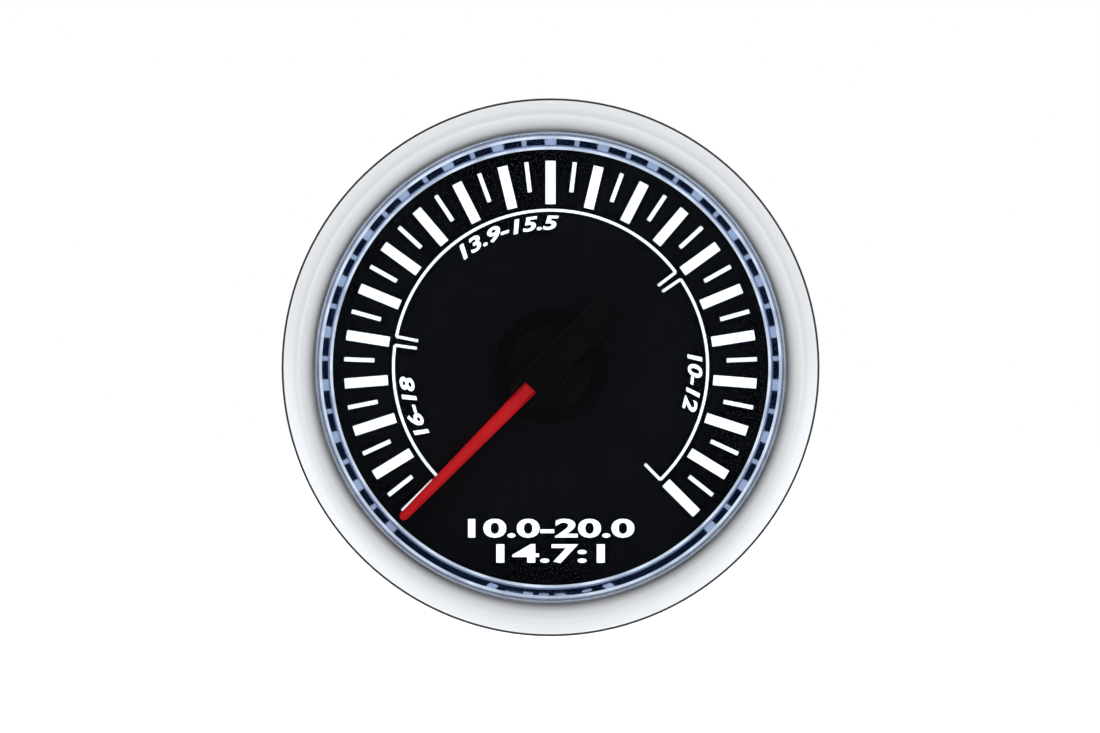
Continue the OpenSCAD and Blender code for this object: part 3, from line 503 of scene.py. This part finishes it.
def rounded_copy(node, width):
    """A merged copy of a CAD node, with small rounds on its edges where it has a width"""
    weld_gap, flat_angle, sliver = 2e-6, 1.5, 1e-6
    bm = bmesh.new()
    bm.from_mesh(frame["nodes"][node].data)
    bmesh.ops.remove_doubles(bm, verts=bm.verts, dist=weld_gap)
    drop_inner_faces(bm)
    bmesh.ops.dissolve_limit(bm, angle_limit=math.radians(flat_angle),
                             use_dissolve_boundaries=False, verts=bm.verts, edges=bm.edges)
    bmesh.ops.recalc_face_normals(bm, faces=bm.faces)
    if width:
        soften(bm, width)
        merge(bm, sliver)
    shade(bm)
    slot = slot_of(node)
    made = finish_piece(bm, node + "_smooth", body_of(node), MATERIALS[slot], (node,))
    made.modifiers.new("flat_faces", "WEIGHTED_NORMAL").keep_sharp = True
    return made


MATERIALS = {}


# Operators


class GAUGE_OT_finishes(bpy.types.Operator):
    """Makes the finishes and puts them on the CAD nodes"""

    bl_idname = "gauge.finishes"
    bl_label = "Finishes"

    def execute(self, context):
        MATERIALS.update(finishes())
        for name, node in frame["nodes"].items():
            node.data.materials.clear()
            node.data.materials.append(MATERIALS[slot_of(name)])
        return {"FINISHED"}


class GAUGE_OT_bezel(bpy.types.Operator):
    """Makes the satin bezel with its rolled crown"""

    bl_idname = "gauge.bezel"
    bl_label = "Bezel"

    def execute(self, context):
        side_r, shoulder_r, bore_r, foot_round = 29.7, 29.5, 27.7, 0.12
        foot, side_top, crown, crown_r = 1.25, 5.0, 11.5, 27.45
        edge_z, lip_z = 10.05, 9.35
        profile = [(bore_r, foot), (side_r - foot_round, foot), (side_r, foot + foot_round)]
        profile += arc((crown_r, side_top), shoulder_r - crown_r, crown - side_top, 0, 90, 24)
        profile += arc((crown_r, edge_z), crown_r - WINDOW_R, crown - edge_z, 100, 180, 14)
        profile += [(WINDOW_R, lip_z), (bore_r, lip_z)]
        turned("bezel_ring", profile, "housing", "satin_silver", ("bezel",))
        return {"FINISHED"}


class GAUGE_OT_lens(bpy.types.Operator):
    """Makes the flat window"""

    bl_idname = "gauge.lens"
    bl_label = "Lens"

    def execute(self, context):
        radius, thickness, middle_z, edge_round = 27.4, 1.8, 8.4, 0.1
        bm = bmesh.new()
        bmesh.ops.create_cone(bm, cap_ends=True, cap_tris=False, segments=ROUND_STEPS,
                              radius1=radius, radius2=radius, depth=thickness,
                              matrix=Matrix.Translation((0, 0, middle_z)))
        soften(bm, edge_round)
        shade(bm)
        bmesh.ops.transform(bm, matrix=STAND, verts=bm.verts)
        finish_piece(bm, "lens_window", "housing", MATERIALS["smoked_lens"],
                     ("lens",))
        return {"FINISHED"}


class GAUGE_OT_halo(bpy.types.Operator):
    """Makes the clear halo ring round the dial"""

    bl_idname = "gauge.halo"
    bl_label = "Halo ring"

    def execute(self, context):
        outer_r, wall_r, line_r, cone_r, neck_r, lip_r = 26.4, 25.7, 25.3, 24.5, 24.4, 24.1
        foot, lip_low, lip_top, line_z, edge_z, top = 2.2, 2.55, 3.0, 4.716, 4.916, 7.45
        edge_round = 0.03
        profile = [(neck_r, foot), (outer_r, foot), (outer_r, top), (wall_r, top),
                   (wall_r, edge_z), (line_r, line_z), (cone_r, lip_top), (lip_r, lip_top),
                   (lip_r, lip_low), (neck_r, lip_low)]
        turned("halo_light_ring", profile, "housing", "halo_clear", ("halo_ring",), edge_round)
        return {"FINISHED"}


class GAUGE_OT_housing(bpy.types.Operator):
    """Smooths the housing's pieces, screws and sockets, and rounds the edges of all but the can"""

    bl_idname = "gauge.housing"
    bl_label = "Housing"

    def execute(self, context):
        soft, cup_share = sizes().edge_softness, 0.4
        for node in ("rear_cover", "power_socket", "sensor_socket", "rear_cover_screws"):
            rounded_copy(node, soft)
        rounded_copy("front_cup", soft * cup_share)
        rounded_copy("body_can", 0.0)
        return {"FINISHED"}


class GAUGE_OT_studs(bpy.types.Operator):
    """Makes the mounting studs with their cut threads"""

    bl_idname = "gauge.studs"
    bl_label = "Mounting studs"

    def execute(self, context):
        pitch = sizes().thread_pitch / MM
        outer, depth_share, from_axis, crease = 2.0, 0.61, 17.0, 25
        collar_r, head_r = 2.4, 4.0
        tip, cover_back, head_low, head_top = -52.0, -34.0, -32.0, -30.2
        root = outer - depth_share * pitch
        solids = ((collar_r, cover_back, head_low, 64), (head_r, head_low, head_top, 6))
        bm = bmesh.new()
        for side in (-1, 1):
            at = Matrix.Translation((side * from_axis, 0, 0))
            stud = bmesh.new()
            thread(stud, root, outer, pitch, tip, cover_back)
            for radius, low, high, around in solids:
                bmesh.ops.create_cone(
                    stud, cap_ends=True, cap_tris=False, segments=around, radius1=radius,
                    radius2=radius, depth=high - low,
                    matrix=Matrix.Translation((0, 0, (low + high) / 2)))
            bmesh.ops.transform(stud, matrix=at, verts=stud.verts)
            part = bpy.data.meshes.new("stud_part")
            stud.to_mesh(part)
            stud.free()
            bm.from_mesh(part)
            bpy.data.meshes.remove(part)
        shade(bm, crease)
        bmesh.ops.transform(bm, matrix=STAND, verts=bm.verts)
        finish_piece(bm, "threaded_studs", "housing", MATERIALS["zinc_steel"],
                     ("mounting_studs",))
        return {"FINISHED"}


def thread(bm, root, outer, pitch, low, high):
    """A cut thread between two heights, with a chamfered lower end"""
    around, seam_gap, under_root = 40, 0.002, 0.05
    turns = math.ceil((high - low) / pitch) + 2
    flat = pitch / 8
    rise = (pitch - 2 * flat) / 2
    start = low - pitch
    heights = (0, flat, flat + rise, 2 * flat + rise, pitch)
    radii = (root, root, outer, outer, root)
    points = [bm.verts.new((r, 0, start + z)) for r, z in zip(radii, heights)]
    edges = [bm.edges.new(pair) for pair in zip(points, points[1:])]
    bmesh.ops.spin(bm, geom=points + edges, axis=(0, 0, 1), cent=(0, 0, 0),
                   dvec=(0, 0, pitch / around), angle=FULL_TURN * turns, steps=around * turns,
                   use_merge=False, use_duplicate=False)
    bmesh.ops.remove_doubles(bm, verts=bm.verts, dist=seam_gap)
    for height, normal in ((low, (0, 0, -1)), (high, (0, 0, 1))):
        cut = bmesh.ops.bisect_plane(
            bm, geom=list(bm.verts) + list(bm.edges) + list(bm.faces), plane_co=(0, 0, height),
            plane_no=normal, clear_outer=True)["geom_cut"]
        rim = [e for e in cut if isinstance(e, bmesh.types.BMEdge) and e.is_boundary]
        bmesh.ops.contextual_create(bm, geom=rim)
    for vert in bm.verts:
        limit = root - under_root + (vert.co.z - low)
        r = math.hypot(vert.co.x, vert.co.y)
        if r > limit > 0:
            vert.co.x *= limit / r
            vert.co.y *= limit / r
    bmesh.ops.recalc_face_normals(bm, faces=bm.faces)


class GAUGE_OT_pointer(bpy.types.Operator):
    """Rounds the edges of the pointer, its hub and its cap"""

    bl_idname = "gauge.pointer"
    bl_label = "Pointer"

    def execute(self, context):
        for node, width in (("pointer_blade", 0.06), ("pointer_hub", 0.1), ("pointer_cap", 0.15)):
            rounded_copy(node, width * MM)
        return {"FINISHED"}


class GAUGE_OT_print(bpy.types.Operator):
    """Puts plain numbers on the dial"""

    bl_idname = "gauge.print"
    bl_label = "Dial print"

    def execute(self, context):
        s = sizes()
        zone_h, label_h = s.zone_number_h / MM, s.label_number_h / MM
        slant, zone_r = 0.22, 16.0
        upright, range_w, ratio_w = 0.0, 18.4, 12.0
        range_place, ratio_place = (0.08, -17.8), (0.0, -20.6)
        bm = bmesh.new()
        for words, middle, length in (("16-18", 74.0, 6.9), ("13.9-15.5", 162.2, 11.7),
                                      ("10-12", 276.0, 6.4)):
            number(bm, words, zone_h, length, slant, middle=middle, radius=zone_r)
        number(bm, "10.0-20.0", label_h, range_w, upright, place=range_place)
        number(bm, "14.7:1", label_h, ratio_w, upright, place=ratio_place)
        bmesh.ops.remove_doubles(bm, verts=bm.verts, dist=SEAM_GAP)
        bmesh.ops.recalc_face_normals(bm, faces=bm.faces)
        bmesh.ops.transform(bm, matrix=STAND, verts=bm.verts)
        finish_piece(bm, "dial_numbers", "housing", MATERIALS["lit_white"])
        return {"FINISHED"}


def number(bm, words, height, length, slant, middle=None, radius=0.0, place=(0.0, 0.0)):
    """Adds numbers as a thin raised print, straight or along an arc with their tops outwards

    middle is the place on the arc in degrees clockwise from 6 o'clock.
    """
    curve = bpy.data.curves.new("number_line", "FONT")
    curve.body = words
    curve.size = 1.0
    curve.offset = 0.028
    curve.extrude = 0.5
    curve.shear = slant
    curve.resolution_u = 4
    line = bpy.data.objects.new("number_line", curve)
    bpy.context.scene.collection.objects.link(line)
    mesh = bpy.data.meshes.new_from_object(line)
    bpy.data.objects.remove(line)
    bpy.data.curves.remove(curve)
    low = [min(v.co[i] for v in mesh.vertices) for i in range(3)]
    high = [max(v.co[i] for v in mesh.vertices) for i in range(3)]
    for vert in mesh.vertices:
        x = ((vert.co.x - low[0]) / (high[0] - low[0]) - 0.5) * length
        y = ((vert.co.y - low[1]) / (high[1] - low[1]) - 0.5) * height
        z = DIAL_TOP + (PRINT_H if vert.co.z > 0 else 0.0)
        if middle is None:
            vert.co = (place[0] + x, place[1] + y, z)
        else:
            turn = math.radians(-90 - middle) - x / radius
            vert.co = ((radius + y) * math.cos(turn), (radius + y) * math.sin(turn), z)
    bm.from_mesh(mesh)
    bpy.data.meshes.remove(mesh)


class GAUGE_OT_studio(bpy.types.Operator):
    """Sets up the floor, the soft lights and the camera"""

    bl_idname = "gauge.studio"
    bl_label = "Studio"

    def execute(self, context):
        scene = context.scene
        low, high = CAD_BOX
        s = sizes()
        floor_z = low[2] - s.floor_gap
        white_stage("floor", floor_z)
        scene.world = studio_air("studio_air")
        panel_y, top_z, top_size, top_power = -0.15, 0.074, (0.16, 0.05), 0.022
        side_x, side_z, side_size, side_power = 0.078, 0.014, (0.05, 0.11), 0.014
        softbox("top_panel", (0, panel_y, top_z), top_size, top_power)
        softbox("left_panel", (-side_x, panel_y, side_z), side_size, side_power)
        softbox("right_panel", (side_x, panel_y, side_z), side_size, side_power)
        camera_x, camera_z = -0.00006, 0.00009
        camera = bpy.data.objects.new("camera", bpy.data.cameras.new("camera"))
        camera.data.lens = s.focal_length
        camera.data.sensor_width = 36.0
        camera.data.clip_start = 0.01
        camera.location = (camera_x, -s.camera_distance, camera_z)
        camera.rotation_euler = (math.radians(90), 0, 0)
        scene.collection.objects.link(camera)
        scene.camera = camera
        scene.view_settings.view_transform = "Standard"
        return {"FINISHED"}


def background_rays(f):
    """1 for rays from the camera, off metal and through glass, and 0 for all others"""
    camera, glossy, through = (f.node("ShaderNodeLightPath", {}, {}, kind) for kind in (
        "Is Camera Ray", "Is Glossy Ray", "Is Transmission Ray"))
    return f.maths_of("MAXIMUM", f.maths_of("MAXIMUM", camera, glossy), through)


def studio_air(name):
    """Air that looks white, directly or in metal and glass, and lights the gauge from round it"""
    world = bpy.data.worlds.new(name)
    world.use_nodes = True
    f = Finish(name, world)
    f.place = f.node("ShaderNodeTexCoord", {}, {}, "Generated")
    front = f.maths_of("MAXIMUM", 0.0 - f.axis("Y"), 0.0)
    above = f.maths_of("MAXIMUM", f.axis("Z"), 0.0)
    round_level, front_dip, above_dip = 1.25, 0.71, 0.35
    level = round_level - (front_dip + above_dip * above) * front
    air = f.node("ShaderNodeBackground", {}, {"Color": (0.96, 0.98, 1.0), "Strength": level})
    white = f.node("ShaderNodeBackground", {}, {"Color": (1.0, 1.0, 1.0)})
    f.node_output(f.node("ShaderNodeMixShader", {}, {0: background_rays(f), 1: air, 2: white}))
    return world


def white_stage(name, height):
    """Floor that looks white, directly or in metal and glass, and keeps the object's shadow"""
    half_size, glow_level = 3.0, 0.5
    bm = bmesh.new()
    bmesh.ops.create_grid(bm, x_segments=1, y_segments=1, size=half_size,
                          matrix=Matrix.Translation((0, 0, height)))
    mesh = bpy.data.meshes.new(name)
    bm.to_mesh(mesh)
    bm.free()
    floor = bpy.data.objects.new(name, mesh)
    bpy.context.scene.collection.objects.link(floor)
    f = Finish("stage_" + name)
    paper = f.node("ShaderNodeBsdfDiffuse", {}, {"Color": (0.80, 0.80, 0.80)})
    glow = f.node("ShaderNodeEmission", {}, {
        "Color": (1.0, 1.0, 1.0), "Strength": background_rays(f) * glow_level})
    f.node_output(f.node("ShaderNodeAddShader", {}, {0: paper, 1: glow}))
    mesh.materials.append(f.material)


def softbox(name, place, size, power):
    """Rectangular soft light that faces the dial and that the camera doesn't see"""
    light = bpy.data.lights.new(name, "AREA")
    light.shape = "RECTANGLE"
    light.size, light.size_y = size
    light.energy = power
    lamp = bpy.data.objects.new(name, light)
    lamp.location = place
    lamp.rotation_euler = (-Vector(place)).to_track_quat("-Z", "Y").to_euler()
    lamp.visible_camera = False
    bpy.context.scene.collection.objects.link(lamp)


class GAUGE_PT_panel(bpy.types.Panel):
    """Lists the gauge's pieces"""

    bl_idname = "GAUGE_PT_panel"
    bl_label = "Gauge"
    bl_space_type = "VIEW_3D"
    bl_region_type = "UI"
    bl_category = "Gauge"

    def draw(self, context):
        for operator in OPERATORS:
            self.layout.operator(operator.bl_idname)


GROUPS = (GaugeSizes, GaugeColours)
OPERATORS = (GAUGE_OT_finishes, GAUGE_OT_bezel, GAUGE_OT_lens, GAUGE_OT_halo, GAUGE_OT_housing,
             GAUGE_OT_studs, GAUGE_OT_pointer, GAUGE_OT_print, GAUGE_OT_studio)


def register():
    for cls in (*GROUPS, *OPERATORS, GAUGE_PT_panel):
        bpy.utils.register_class(cls)
    bpy.types.Scene.gauge_sizes = bpy.props.PointerProperty(type=GaugeSizes)
    bpy.types.Scene.gauge_colours = bpy.props.PointerProperty(type=GaugeColours)


def unregister():
    del bpy.types.Scene.gauge_colours
    del bpy.types.Scene.gauge_sizes
    for cls in reversed((*GROUPS, *OPERATORS, GAUGE_PT_panel)):
        bpy.utils.unregister_class(cls)


def main():
    register()
    bpy.ops.gauge.finishes()
    bpy.ops.gauge.bezel()
    bpy.ops.gauge.lens()
    bpy.ops.gauge.halo()
    bpy.ops.gauge.housing()
    bpy.ops.gauge.studs()
    bpy.ops.gauge.pointer()
    bpy.ops.gauge.print()
    bpy.ops.gauge.studio()


if __name__ == "__main__":
    main()
